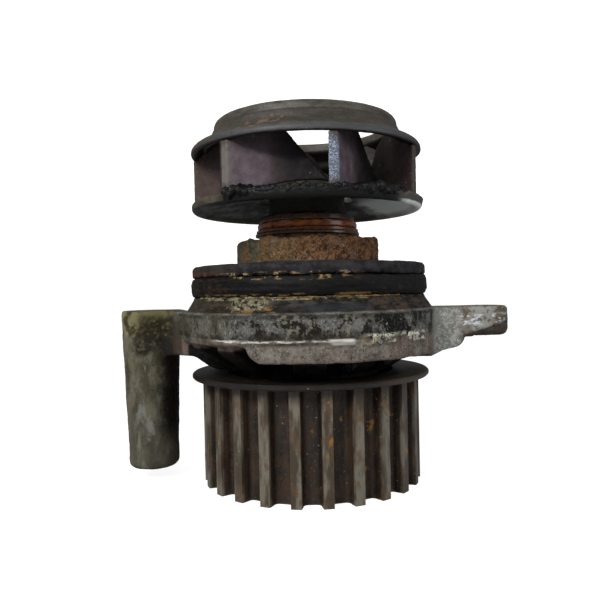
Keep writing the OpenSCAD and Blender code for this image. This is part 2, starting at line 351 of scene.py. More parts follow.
def wear_shroud(piece):
    co, no = read_points(piece.data)
    r, a, z = polar(co)
    d = 0.03 * fbm(co, 1.5, 141, 3) + 0.04 * fbm(co, 8, 143, 2)
    scar = between(a, -30, -14, 2) * between(z, 45, 48, 0.6)
    d -= 0.12 * scar * rise(fbm(co, 1.6, 147, 3), 0, 0.5)
    co += no * (d - 0.03)[:, None]
    # the moulded cone sinks a little outside the eye ring's wall
    co[:, 2] -= 1.35 * rise(r, 25.5, 26.7) * (1 - rise(r, 26.9, 31.3)) * rise(z, 43.9, 44.6)
    write_points(piece.data, co)


def swept_lump(name, angles, centre, half, seed, ring=14):
    """A lumpy strand round the shaft: centre(angle) is its radius and height, half(angle) its half width."""
    verts, faces = [], []
    for a in angles:
        rad, z = centre(a)
        s, c = math.sin(math.radians(a)), -math.cos(math.radians(a))
        for j in range(ring):
            t = 2 * math.pi * j / ring
            h = half(a)
            rr, zz = rad + h * math.cos(t), z + 0.8 * h * math.sin(t)
            verts.append((rr * s, rr * c, zz))
    co = np.array(verts)
    out = co.reshape(len(angles), ring, 3)
    mid = out.mean(1, keepdims=True)
    k = 1 + 0.5 * fbm(co, 1.3, seed, 4, 0.6).reshape(len(angles), ring, 1)
    co = (mid + (out - mid) * np.clip(k, 0.35, 1.9)).reshape(-1, 3)
    for i in range(len(angles) - 1):
        for j in range(ring):
            n = (j + 1) % ring
            faces.append((i * ring + j, i * ring + n, (i + 1) * ring + n, (i + 1) * ring + j))
    faces.append(tuple(range(ring))[::-1])
    faces.append(tuple((len(angles) - 1) * ring + j for j in range(ring)))
    mesh = bpy.data.meshes.new(name)
    mesh.from_pydata([tuple(v) for v in co * MM], [], faces)
    mesh.polygons.foreach_set("use_smooth", [True] * len(mesh.polygons))
    piece = bpy.data.objects.new(name, mesh)
    bpy.context.scene.collection.objects.link(piece)
    return piece


# ---- materials ----

def rgb(r, g, b, gain=1.0):
    """A display colour as linear light."""
    out = []
    for v in (r, g, b):
        v /= 255
        out.append((v / 12.92 if v <= 0.04045 else ((v + 0.055) / 1.055) ** 2.4) * gain)
    return (*out, 1)


class Value:
    """A number or colour in a shader, so that its sums read as sums."""

    def __init__(self, graph, socket):
        self.graph, self.socket = graph, socket

    def __add__(self, other):
        return self.graph.math("ADD", self, other)

    def __sub__(self, other):
        return self.graph.math("SUBTRACT", self, other)

    def __rsub__(self, other):
        return self.graph.math("SUBTRACT", other, self)

    def __mul__(self, other):
        return self.graph.math("MULTIPLY", self, other)

    __radd__, __rmul__ = __add__, __mul__

    def abs(self):
        return self.graph.math("ABSOLUTE", self)

    def most(self, other):
        return self.graph.math("MAXIMUM", self, other)

    def over(self, lo, hi):
        """0 below lo, 1 above hi, smooth between; lo may be the larger."""
        node = self.graph.add("ShaderNodeMapRange")
        node.interpolation_type = "SMOOTHSTEP"
        self.graph.put(self, node.inputs["Value"])
        flip = lo > hi
        node.inputs["From Min"].default_value = min(lo, hi)
        node.inputs["From Max"].default_value = max(lo, hi)
        node.inputs["To Min"].default_value = 1.0 if flip else 0.0
        node.inputs["To Max"].default_value = 0.0 if flip else 1.0
        return Value(self.graph, node.outputs["Result"])

    def band(self, lo, hi, soft):
        return self.over(lo - soft, lo + soft) * self.over(hi + soft, hi - soft)


class Graph:
    """One procedural material, measured in millimetres on the object."""

    def __init__(self, name, specular=0.5, metallic=0.0, coat=0.0, coat_rough=0.2):
        self.mat = bpy.data.materials.new(name)
        self.mat.use_nodes = True
        self.tree = self.mat.node_tree
        self.tree.nodes.clear()
        out = self.add("ShaderNodeOutputMaterial")
        self.bsdf = self.add("ShaderNodeBsdfPrincipled")
        self.tree.links.new(self.bsdf.outputs[0], out.inputs["Surface"])
        self.bsdf.inputs["Specular IOR Level"].default_value = specular
        self.bsdf.inputs["Metallic"].default_value = metallic
        self.bsdf.inputs["Coat Weight"].default_value = coat
        self.bsdf.inputs["Coat Roughness"].default_value = coat_rough
        coords = self.add("ShaderNodeTexCoord")
        scale = self.add("ShaderNodeVectorMath")
        scale.operation = "SCALE"
        scale.inputs["Scale"].default_value = 1 / MM
        self.tree.links.new(coords.outputs["Object"], scale.inputs[0])
        self.point = scale.outputs[0]
        split = self.add("ShaderNodeSeparateXYZ")
        self.tree.links.new(self.point, split.inputs[0])
        self.x, self.y, self.z = (Value(self, split.outputs[i]) for i in range(3))
        self.r = self.math("SQRT", self.x * self.x + self.y * self.y)
        self.a = self.math("ARCTAN2", self.x, self.y * -1.0) * 57.29578
        normal = self.add("ShaderNodeNewGeometry")
        facing = self.add("ShaderNodeVectorTransform")
        facing.vector_type, facing.convert_from, facing.convert_to = "NORMAL", "WORLD", "OBJECT"
        self.tree.links.new(normal.outputs["Normal"], facing.inputs[0])
        parts = self.add("ShaderNodeSeparateXYZ")
        self.tree.links.new(facing.outputs[0], parts.inputs[0])
        self.up = Value(self, parts.outputs[2])

    def add(self, kind):
        return self.tree.nodes.new(kind)

    def put(self, value, socket):
        if isinstance(value, Value):
            self.tree.links.new(value.socket, socket)
        else:
            socket.default_value = value

    def math(self, op, *args):
        node = self.add("ShaderNodeMath")
        node.operation = op
        for value, socket in zip(args, node.inputs):
            self.put(value, socket)
        return Value(self, node.outputs[0])

    def place(self, stretch, seed):
        node = self.add("ShaderNodeMapping")
        node.inputs["Location"].default_value = (seed * 13.7, seed * 7.3, seed * 3.1)
        node.inputs["Scale"].default_value = stretch
        self.tree.links.new(self.point, node.inputs["Vector"])
        return node.outputs[0]

    def noise(self, size, seed=0, detail=4, rough=0.6, stretch=(1, 1, 1), distort=0.0):
        node = self.add("ShaderNodeTexNoise")
        self.tree.links.new(self.place(stretch, seed), node.inputs["Vector"])
        node.inputs["Scale"].default_value = 1 / size
        node.inputs["Detail"].default_value = detail
        node.inputs["Roughness"].default_value = rough
        node.inputs["Distortion"].default_value = distort
        return Value(self, node.outputs["Fac"])

    def cells(self, size, seed=0):
        node = self.add("ShaderNodeTexVoronoi")
        self.tree.links.new(self.place((1, 1, 1), seed), node.inputs["Vector"])
        node.inputs["Scale"].default_value = 1 / size
        return Value(self, node.outputs["Distance"])

    def mix(self, share, a, b):
        node = self.add("ShaderNodeMix")
        node.data_type = "RGBA"
        self.put(share, node.inputs[0])
        self.put(a, node.inputs[6])
        self.put(b, node.inputs[7])
        return Value(self, node.outputs[2])

    def blend(self, share, a, b):
        """Mix of two numbers."""
        return share * (b - a) + a

    def finish(self, colour, rough, height=None, depth=1.0, strength=1.0):
        self.put(colour, self.bsdf.inputs["Base Color"])
        self.put(rough, self.bsdf.inputs["Roughness"])
        if height is not None:
            bump = self.add("ShaderNodeBump")
            bump.inputs["Strength"].default_value = strength
            bump.inputs["Distance"].default_value = depth * MM
            self.put(height, bump.inputs["Height"])
            self.tree.links.new(bump.outputs[0], self.bsdf.inputs["Normal"])
        return self.mat


class Casting(Graph):
    """The housing's material, with the noises that its regions share."""

    def __init__(self):
        super().__init__("cast_aluminium", specular=0.16)
        self.fine = self.noise(0.45, 1, 3, 0.7)
        self.grain = self.noise(1.1, 2, 4, 0.65)
        self.mid = self.noise(3.4, 3, 5, 0.6)
        self.big = self.noise(9.0, 4, 4, 0.55)
        self.drip = self.noise(2.4, 5, 5, 0.6, (1, 1, 0.35))
        self.arc = self.noise(3.0, 6, 5, 0.65, (1, 1, 3.2))


def bare_casting(g):
    """Oxidised casting, with sooty and pale patches."""
    c = g.mix(g.mid.over(0.38, 0.62), rgb(66, 62, 53), rgb(122, 120, 112))
    c = g.mix(g.big.over(0.50, 0.66) * 0.5, c, rgb(96, 84, 66))
    c = g.mix(g.grain.over(0.50, 0.68) * 0.6, c, rgb(48, 43, 37))
    return g.mix(g.fine.over(0.56, 0.70) * 0.55, c, rgb(165, 162, 152))


def flange_band(g, under):
    """Dark sooty film over a mottled blue-grey ground, with a burnt patch on the right."""
    a, z, fine, grain, mid = g.a, g.z, g.fine, g.grain, g.mid
    film = (g.drip * 0.2 + mid * 0.35 + grain * 0.3 + g.big * 0.15).over(0.455, 0.53)
    c = g.mix(film, rgb(26, 22, 17), rgb(106, 107, 104))
    c = g.mix(grain.over(0.47, 0.6) * 0.6, c, rgb(56, 51, 42))
    c = g.mix(fine.over(0.54, 0.66) * film * 0.7, c, rgb(176, 176, 168))
    c = g.mix(a.over(-22, -40) * 0.5, c, rgb(86, 82, 62))
    low = z.over(-3.4, -5.4) * a.band(-24, 30, 5)
    c = g.mix(low * mid.over(0.35, 0.55) * 0.75, c, rgb(34, 28, 22))
    runs = g.noise(2.2, 24, 5, 0.65, (1, 1, 0.3), 0.3)
    pale = runs.over(0.50, 0.60) * a.band(-14, 27, 4) * grain.over(0.44, 0.56)
    c = g.mix(pale * 0.6, c, rgb(134, 130, 112))
    c = g.mix(runs.over(0.44, 0.36) * z.over(-1.2, -2.6) * 0.7, c, rgb(24, 19, 14))
    c = g.mix(z.over(-1.7, -0.7) * mid.over(0.40, 0.54) * 0.75, c, rgb(30, 25, 19))
    c = g.mix(z.over(-4.4, -5.4) * a.over(30, 16) * mid.over(0.58, 0.46) * 0.75, c, rgb(40, 31, 22))
    burnt = (a + (grain - 0.5) * 9 + (z + 3) * 1.1).band(28.6, 42.4, 0.7)
    burnt = burnt * (z + (mid - 0.5) * 2).band(-5.9, -0.5, 0.3)
    c = g.mix(burnt * (fine * 0.4 + grain * 0.6).over(0.60, 0.52) * 0.97, c, rgb(6, 5, 3))
    return g.mix(z.band(BAND_LOW, -0.2, 0.25) * g.r.band(33.5, 36.2, 0.3), under, c)


def deep_lip(g, under):
    """Pinkish grey, speckled, with brown stains along the lower edge."""
    a, z, mid = g.a, g.z, g.mid
    c = g.mix(mid.over(0.36, 0.62), rgb(88, 80, 72), rgb(126, 119, 110))
    c = g.mix(g.big.over(0.48, 0.62) * 0.6, c, rgb(104, 86, 79))
    c = g.mix(g.grain.over(0.52, 0.66) * 0.7, c, rgb(54, 46, 38))
    c = g.mix(g.fine.over(0.55, 0.66) * 0.6, c, rgb(172, 168, 156))
    c = g.mix(z.over(-10.0, -11.4) * mid.over(0.42, 0.58) * 0.6, c, rgb(92, 70, 54))
    c = g.mix(a.over(-24, -44) * 0.5, c, rgb(70, 66, 48))
    pink = a.over(-22, -28) * z.over(-6.8, -7.3) * mid.over(0.40, 0.54)
    c = g.mix(pink * 0.75, c, rgb(122, 100, 92))
    seam = z.over(-7.9, -6.9) * a.over(14, -4) * a.over(-30, -22) * mid.over(0.4, 0.56)
    c = g.mix(seam * 0.8, c, rgb(50, 44, 38))
    lip = z.over(BAND_LOW - 0.2, BAND_LOW - 0.6) * g.r.band(30.5, 37.5, 0.4) * (1.0 - g.x.over(36, 38))
    return g.mix(lip, under, c)


def parting_line(g, c):
    """Bright torn fin along the parting line, with white crust at its right end."""
    r, a, z = g.r, g.a, g.z
    wave = (g.arc - 0.5) * 1.2
    fin = (z + wave).band(-6.55, -6.2, 0.18) * r.over(34.8, 35.15) * a.band(-40, 21, 4)
    fin = fin * g.noise(4.0, 8, 3, 0.6).over(0.36, 0.5)
    c = g.mix(fin, c, rgb(214, 212, 200))
    wedge = (a + z * 1.2).band(0, 9.5, 1.2) * z.band(-7.3, -5.9, 0.25) * r.over(34.9, 35.2)
    c = g.mix(wedge, c, rgb(205, 203, 192))
    white = a.band(22, 58, 3) * z.band(-7.3, -5.0, 0.4) * r.over(35.0, 35.25)
    white = white * (g.grain * 0.4 + g.fine * 0.6).over(0.44, 0.52)
    c = g.mix(white * 0.9, c, rgb(206, 205, 190))
    brown = a.band(20, 36, 3) * z.band(-7.2, -5.6, 0.4) * g.mid.over(0.48, 0.56)
    return g.mix(brown * 0.8, c, rgb(122, 104, 62))


def cone_below_groove(g, under):
    """Dark cone with rust on the right, and cream and golden remnants of sealant on the left."""
    a, z, fine, grain, mid, arc = g.a, g.z, g.fine, g.grain, g.mid, g.arc
    c = g.mix(arc.over(0.42, 0.60), rgb(16, 14, 12), rgb(60, 57, 51))
    c = g.mix(a.over(-18, -44) * 0.45, c, rgb(64, 56, 38))
    c = g.mix(a.band(-2, 26, 5) * z.over(2.6, 1.6) * 0.7, c, rgb(38, 42, 46))
    c = g.mix(a.over(18, 30) * (mid * 0.6 + grain * 0.4).over(0.50, 0.58) * 0.6, c, rgb(80, 58, 42))
    stain = a.band(-50, -8, 5) * z.over(2.2, 1.0) * g.drip.over(0.46, 0.52)
    c = g.mix(stain, c, rgb(30, 26, 20))
    gold = a.band(-46, -8, 3) * z.band(0.3, 1.6, 0.4) * arc.over(0.54, 0.58)
    c = g.mix(gold * 0.8, c, rgb(136, 98, 44))
    cream = (a.band(-52, 24, 6) * z.over(3.0, 3.4) * arc.over(0.44, 0.54)).most(
        (a + (mid - 0.5) * 12).band(-33, -17, 2) * z.band(0.9, 3.9, 0.4) * grain.over(0.44, 0.56))
    c = g.mix(cream * 0.85, c, rgb(132, 124, 96))
    c = g.mix(a.band(-20, 26, 5) * z.over(3.2, 3.6) * arc.over(0.48, 0.56) * 0.8, c, rgb(136, 102, 48))
    c = g.mix(cream * fine.over(0.54, 0.62) * 0.7, c, rgb(196, 192, 170))
    return g.mix(z.band(0.2, CONE_TOP + 0.4, 0.25) * g.r.band(30.5, 34.4, 0.3), under, c)


def collar_and_groove(g, under):
    """Dark machined steel-grey with ochre along its lower edge, above a groove painted near-black as shade.
    """
    r, a, z, mid = g.r, g.a, g.z, g.mid
    c = g.mix(mid.over(0.36, 0.64), rgb(24, 23, 24), rgb(50, 50, 53))
    c = g.mix(a.over(-16, -46) * 0.5, c, rgb(54, 47, 37))
    c = g.mix(g.grain.over(0.62, 0.72) * 0.5, c, rgb(84, 84, 84))
    edge = z.over(10.1, 9.3) * a.band(-44, 20, 6) * g.arc.over(0.50, 0.56)
    c = g.mix(edge * 0.85, c, rgb(140, 104, 48))
    c = g.mix(edge * g.fine.over(0.50, 0.60), c, rgb(190, 188, 172))
    c = g.mix(z.over(10.8, 9.2) * a.over(-38, -54) * mid.over(0.40, 0.55), c, rgb(104, 58, 34))
    c = g.mix(z.band(COLLAR_Z0 - 0.4, COLLAR_Z1 + 0.6, 0.2) * r.over(20.6, 21.2), under, c)
    # painted shade: the ring groove round the O-ring is filled near-black
    return g.mix(z.band(4.0, 8.8, 0.15) * r.band(27, 31.7, 0.2), c, rgb(16, 14, 12))


def rusty_boss(g, boss, under):
    """Flaking rust with pits, bare metal at the left, and a dark line round its foot."""
    mid, a = g.mid, g.a
    c = g.mix(g.noise(1.7, 12, 5, 0.7).over(0.40, 0.60), rgb(64, 38, 24), rgb(128, 92, 62))
    c = g.mix(a.over(6, -22) * 0.5, c, rgb(100, 84, 52))
    c = g.mix(g.cells(1.3, 13).over(0.30, 0.06) * 0.75, c, rgb(40, 26, 20))
    c = g.mix(g.fine.over(0.57, 0.66) * 0.8, c, rgb(176, 140, 108))
    c = g.mix(g.noise(2.2, 14, 4, 0.6).over(0.60, 0.68) * 0.6, c, rgb(104, 104, 104))
    bare = g.mix(g.grain.over(0.4, 0.6), rgb(60, 58, 46), rgb(92, 88, 70))
    bare = g.mix(mid.over(0.56, 0.62) * 0.7, bare, rgb(116, 78, 46))
    c = g.mix((a + (mid - 0.5) * 30).over(-34, -44), c, bare)
    c = g.mix(boss, under, c)
    return g.mix(g.z.band(12.0, 12.9, 0.2) * g.r.band(19.5, 23, 0.4) * 0.8, c, rgb(24, 20, 17))


def oily_neck(g, under):
    """Oily black neck deepened with painted shade under the flange, painted highlights on its gussets' outer
    edges, and painted shade on its downward faces.
    """
    r, a, z = g.r, g.a, g.z
    # the neck's near-black colour is grime plus painted shade under the flange
    c = g.mix(g.mid.over(0.45, 0.65), rgb(13, 12, 11), rgb(34, 32, 31))
    # painted highlight: the gussets' outer edges are lightened blue-grey where they catch the light
    lit_gusset_edge = r.over(20.0, 22.5) * g.noise(2.2, 15, 4, 0.6, (1, 1, 0.5)).over(0.44, 0.60)
    c = g.mix(lit_gusset_edge * a.over(-26, -20) * 0.8, c, rgb(84, 86, 88))
    c = g.mix(a.over(-24, -30) * z.over(-11.5, -10.5) * 0.7, c, rgb(24, 17, 12))
    neck = z.over(-11.0, -12.2) * r.over(34.2, 33.8)
    left = z.over(-8.4, -9.2) * a.over(-27.5, -30) * r.over(34.0, 33.4)
    c = g.mix(neck.most(left), under, c)
    # painted shade: faces pointing down under the flange are darkened
    below = g.up.over(-0.5, -0.8) * z.over(-5.0, -7.0) * r.band(19, 31, 0.5)
    return g.mix(below * 0.85, c, rgb(28, 25, 22))


def right_ear(g, under):
    """The ear's pale rough root, and its flat end with brown patches and painted highlight streaks."""
    x, z, grain = g.x, g.z, g.grain
    root = x.over(31.0, 33.5) * (1.0 - x.over(42.0, 44.5)) * g.y.over(14, 10)
    c = g.mix(grain.over(0.40, 0.60), rgb(118, 118, 112), rgb(160, 160, 154))
    c = g.mix(g.fine.over(0.54, 0.66) * 0.8, c, rgb(196, 196, 190))
    under = g.mix(root * z.over(0.6, -0.6) * g.noise(4, 16, 3).over(0.25, 0.4), under, c)
    c = g.mix(g.big.over(0.40, 0.60), rgb(102, 94, 75), rgb(148, 148, 142))
    c = g.mix(g.noise(4.0, 17, 5, 0.6, (1, 1, 2)).over(0.54, 0.64) * 0.6, c, rgb(156, 156, 150))
    c = g.mix(g.mid.over(0.52, 0.60) * 0.8, c, rgb(84, 66, 44))
    c = g.mix(g.noise(1.4, 25, 4, 0.6, (1, 1, 1.6)).over(0.56, 0.64) * 0.7, c, rgb(52, 44, 34))
    # painted highlight: white-blue specular streaks on the ear's flat end
    streak = g.noise(2.6, 18, 4, 0.6, (1, 1, 2.6)).over(0.52, 0.60) * z.band(-5.0, -2.0, 0.6)
    c = g.mix(streak, c, rgb(204, 206, 212))
    c = g.mix((z - (x - 50) * 0.28 + (grain - 0.5) * 2).over(-4.9, -5.3) * 0.8, c, rgb(58, 48, 40))
    return g.mix(x.over(39.5, 41.5), under, c)


def long_post(g, under):
    """Brown head with stains, pale streaked middle, right side darkened by dirt and painted shade, and the
    web beside it.
    """
    x, z, grain, mid = g.x, g.z, g.grain, g.mid
    across = x - POST_X
    c = g.mix(g.noise(5.5, 19, 4, 0.55, (1, 1, 0.5)).over(0.38, 0.62), rgb(66, 61, 45), rgb(108, 104, 86))
    c = g.mix(z.over(-18, -36) * 0.45, c, rgb(78, 78, 70))
    streak = across.band(-3.2, 2.4, 1.6) * g.noise(4.0, 20, 5, 0.6, (1.2, 1.2, 0.4), 0.6).over(0.46, 0.60)
    c = g.mix(streak * z.over(-9, -13) * 0.75, c, rgb(134, 134, 128))
    crack = (g.noise(3.2, 21, 4, 0.6, (1, 1, 0.6)) - 0.5).abs().over(0.035, 0.008) * z.band(-26, -10, 4)
    c = g.mix(crack * 0.45, c, rgb(64, 58, 48))
    # the post's right side is darkened: part dirt, part painted shade
    dark = (across + (mid - 0.5) * 5).over(2.2, 5.2) * z.over(-4, -9)
    c = g.mix(dark * z.over(-38, -30) * 0.93, c, rgb(12, 10, 8))
    head = g.mix(mid.over(0.42, 0.60), rgb(64, 57, 37), rgb(104, 98, 68))
    head = g.mix(x.over(-44, -50) * mid.over(0.40, 0.52) * 0.6, head, rgb(142, 138, 100))
    c = g.mix(z.over(-7.2, -5.6), c, head)
    soot = (z + (g.big - 0.5) * 8 - (x + 44) * 0.4).band(-10.5, -3.0, 1.0)
    soot = soot * (x + (mid - 0.5) * 6).over(-49.5, -46.0) * (grain * 0.6 + mid * 0.4).over(0.40, 0.52)
    c = g.mix(soot * 0.85, c, rgb(26, 20, 14))
    c = g.mix(g.fine.over(0.60, 0.70) * soot.over(0.3, 0.1) * 0.3, c, rgb(150, 146, 130))
    c = g.mix(x.over(-35.5, -37.5), under, c)
    web = x.band(-37.5, -28, 1.2) * z.over(-1.0, -3.0) * g.r.over(35.0, 35.6)
    return g.mix(web * mid.over(0.30, 0.52) * 0.8, c, rgb(50, 43, 32))


def housing_material():
    g = Casting()
    boss = g.z.over(12.5, 13.1) * g.r.over(21.4, 20.9) * g.r.over(14.2, 14.8)
    c = flange_band(g, bare_casting(g))
    c = parting_line(g, deep_lip(g, c))
    c = collar_and_groove(g, cone_below_groove(g, c))
    c = oily_neck(g, rusty_boss(g, boss, c))
    c = long_post(g, right_ear(g, c))
    # small black specks everywhere
    c = g.mix(g.cells(1.9, 22).over(0.16, 0.08) * 0.5, c, rgb(20, 18, 15))
    rough = g.blend(g.grain.over(0.35, 0.65), 0.5, 0.75)
    height = g.grain * 0.12 + g.fine * 0.08 + boss * (g.cells(0.8, 23) * 0.30)
    return g.finish(c, rough, height, 1.0, 0.8)


def rubber_material():
    g = Graph("old_rubber", specular=0.18)
    arc = g.noise(2.6, 1, 5, 0.6, (1, 1, 3.5))
    fine = g.noise(0.5, 2, 3, 0.6)
    c = g.mix(arc.over(0.40, 0.62), rgb(4, 4, 4), rgb(17, 16, 16))
    c = g.mix(g.noise(4, 3, 4, 0.6, (1, 1, 2)).over(0.58, 0.66) * 0.5, c, rgb(52, 40, 24))
    tan = (g.a.over(-30, -50) * g.noise(2.0, 4, 5, 0.65, (1, 1, 2.5)).over(0.48, 0.56))
    c = g.mix(tan * 0.45, c, rgb(66, 46, 28))
    ochre = g.z.over(4.9, 4.4) * g.a.band(-58, 32, 6) * g.noise(3.0, 5, 5, 0.65, (1, 1, 3)).over(0.50, 0.56)
    c = g.mix(ochre * 0.8, c, rgb(126, 98, 52))
    dust = g.z.over(7.6, 8.4) * g.a.band(-34, 16, 6) * g.noise(2.2, 6, 5, 0.65, (1, 1, 2)).over(0.55, 0.60)
    c = g.mix(dust, c, rgb(150, 122, 76))
    c = g.mix(g.cells(2.6, 7).over(0.07, 0.04) * 0.6, c, rgb(104, 98, 84))
    return g.finish(c, g.blend(arc, 0.42, 0.72), arc * 0.25 + fine * 0.08, 1.0, 0.8)


def blade_material():
    """Glass-filled plastic of the blades: stained faces, rubbed tips, and painted shade deep towards the
    hub.
    """
    g = Graph("impeller_blade", specular=0.3)
    fine = g.noise(0.35, 1, 3, 0.7)
    mid = g.noise(3.0, 2, 5, 0.6)
    big = g.noise(8.0, 3, 4, 0.55)
    c = g.mix(mid.over(0.35, 0.65), rgb(90, 77, 82), rgb(112, 99, 108))
    c = g.mix(big.over(0.52, 0.66) * 0.5, c, rgb(78, 62, 48))
    c = g.mix(g.a.over(-62, -80) * 0.8, c, rgb(68, 52, 42))
    c = g.mix(g.a.over(30, 48) * 0.8, c, rgb(52, 36, 28))
    c = g.mix(fine.over(0.60, 0.70) * 0.25, c, rgb(112, 110, 114))
    # painted shade: the blades go near-black deep in the passages towards the hub
    c = g.mix(g.r.over(25.0, 21.0) * 0.93, c, rgb(9, 7, 6))
    # darker towards the top of each blade face, just under the shroud's rim
    c = g.mix(g.z.over(37.5, 42.5) * mid.over(0.3, 0.5) * 0.6, c, rgb(26, 20, 18))
    tip = g.r.over(30.35, 30.75)
    c = g.mix(tip * 0.8, c, rgb(74, 68, 62))
    c = g.mix(tip * g.a.band(-52, -40.6, 0.3) * 0.9, c, rgb(46, 37, 33))
    worn = tip * g.a.band(-40.4, -20, 0.3) * (g.z + (mid - 0.5) * 8).band(32, 41, 1)
    c = g.mix(worn * 0.6, c, rgb(120, 115, 108))
    frost = tip * g.a.band(4, 20, 2) * (g.z + (mid - 0.5) * 6).band(31, 40, 2)
    c = g.mix(frost * 0.7, c, rgb(98, 106, 122))
    c = g.mix(frost * fine.over(0.50, 0.60), c, rgb(176, 192, 216))
    c = g.mix(g.cells(2.8, 5).over(0.10, 0.05) * 0.5, c, rgb(140, 132, 118))
    rough = g.blend(mid.over(0.4, 0.6), 0.42, 0.62)
    return g.finish(c, rough, fine * 0.05 + mid * 0.06, 1.0, 0.8)


def plate_material():
    """Back plate: olive-brown rim, underside black with oil and painted shade, painted light on its right
    part and far rim, soot over the front.
    """
    g = Graph("impeller_plate", specular=0.3)
    fine = g.noise(0.4, 1, 3, 0.7)
    mid = g.noise(3.0, 2, 5, 0.6)
    # faces pointing down take the underside colour: oil darkened with painted shade
    below = g.up.over(-0.35, -0.6)
    c = g.mix(mid.over(0.35, 0.65), rgb(56, 51, 40), rgb(84, 78, 64))
    c = g.mix(g.a.over(38, 56) * 0.7, c, rgb(80, 80, 76))
    c = g.mix(fine.over(0.60, 0.70) * 0.3, c, rgb(120, 116, 106))
    oil_shade_and_light = g.mix(mid.over(0.4, 0.6), rgb(9, 8, 7), rgb(24, 21, 17))
    # painted light: a near-white patch on the underside's right part stands in for light falling there
    lit_underside = (g.a + (mid - 0.5) * 18).band(50, 128, 8) * g.r.over(16, 21)
    oil_shade_and_light = g.mix(lit_underside, oil_shade_and_light, rgb(236, 244, 240))
    # painted light: the far rim of the underside is lightened as if lit
    edge = g.r.over(28.0, 30.5) * g.a.abs().over(96, 120)
    oil_shade_and_light = g.mix(edge * 0.8, oil_shade_and_light, rgb(120, 118, 100))
    c = g.mix(below, c, oil_shade_and_light)
    # painted shade: near-black in the recess round the hub
    c = g.mix(g.r.over(13, 11) * 0.9, c, rgb(12, 11, 11))
    black = g.r.over(24, 26) * (g.a + (mid - 0.5) * 20).band(-41, 44, 3)
    tar = g.mix(fine.over(0.60, 0.70), rgb(4, 4, 4), rgb(40, 40, 46))
    c = g.mix(black * g.up.over(-0.9, -0.6), c, tar)
    rough = g.blend(mid.over(0.4, 0.6), 0.42, 0.62)
    return g.finish(c, rough, fine * 0.05 + mid * 0.06, 1.0, 0.8)


def shroud_material():
    g = Graph("impeller_shroud", specular=0.4)
    fine = g.noise(0.4, 1, 3, 0.7)
    mid = g.noise(3.4, 2, 5, 0.6)
    arc = g.noise(4.0, 3, 4, 0.6, (1, 1, 2.5))
    c = g.mix(arc.over(0.38, 0.62), rgb(58, 54, 47), rgb(84, 79, 71))
    cone = g.z.band(44.2, 48.6, 0.3)
    c = g.mix(cone * 0.65, c, rgb(50, 44, 36))
    c = g.mix(g.z.band(48.6, 49.3, 0.2) * 0.6, c, rgb(34, 30, 25))
    rim = g.z.over(44.6, 43.6)
    c = g.mix(rim * 0.8, c, rgb(64, 66, 68))
    c = g.mix(g.a.over(-35, -60) * 0.5, c, rgb(70, 58, 42))
    c = g.mix(rim * g.a.over(30, 45) * 0.6, c, rgb(58, 60, 62))
    scar = g.a.band(-34, -8, 4) * g.z.band(44.0, 48.5, 1.0) * mid.over(0.52, 0.60)
    c = g.mix(scar * 0.8, c, rgb(118, 92, 66))
    c = g.mix(fine.over(0.58, 0.68) * 0.35, c, rgb(126, 124, 118))
    # painted shade: faces pointing down, the shroud's underside over the blade passages, go near-black
    inner = g.up.over(-0.2, -0.5)
    c = g.mix(inner * 0.92, c, rgb(14, 11, 9))
    c = g.mix(g.cells(3.0, 4).over(0.12, 0.06) * 0.5, c, rgb(40, 36, 30))
    return g.finish(c, g.blend(mid, 0.40, 0.62), fine * 0.05 + arc * 0.08, 1.0, 0.8)


def copper_material(name, base, bright, rough_lo=0.2, rough_hi=0.4):
    """Brown lacquered seal metal, glossy and streaked round the shaft."""
    g = Graph(name, specular=0.4, coat=0.25, coat_rough=0.12)
    arc = g.noise(2.2, 1, 4, 0.6, (1, 1, 4))
    spots = g.noise(1.2, 2, 4, 0.65)
    c = g.mix(arc.over(0.38, 0.62), base, bright)
    c = g.mix(spots.over(0.60, 0.68) * 0.7, c, rgb(26, 14, 8))
    c = g.mix(g.noise(5, 3, 3).over(0.55, 0.65) * 0.4, c, rgb(112, 66, 30))
    rough = g.blend(spots.over(0.4, 0.65), rough_lo, rough_hi)
    return g.finish(c, rough, arc * 0.08 + spots * 0.05, 1.0, 0.6)


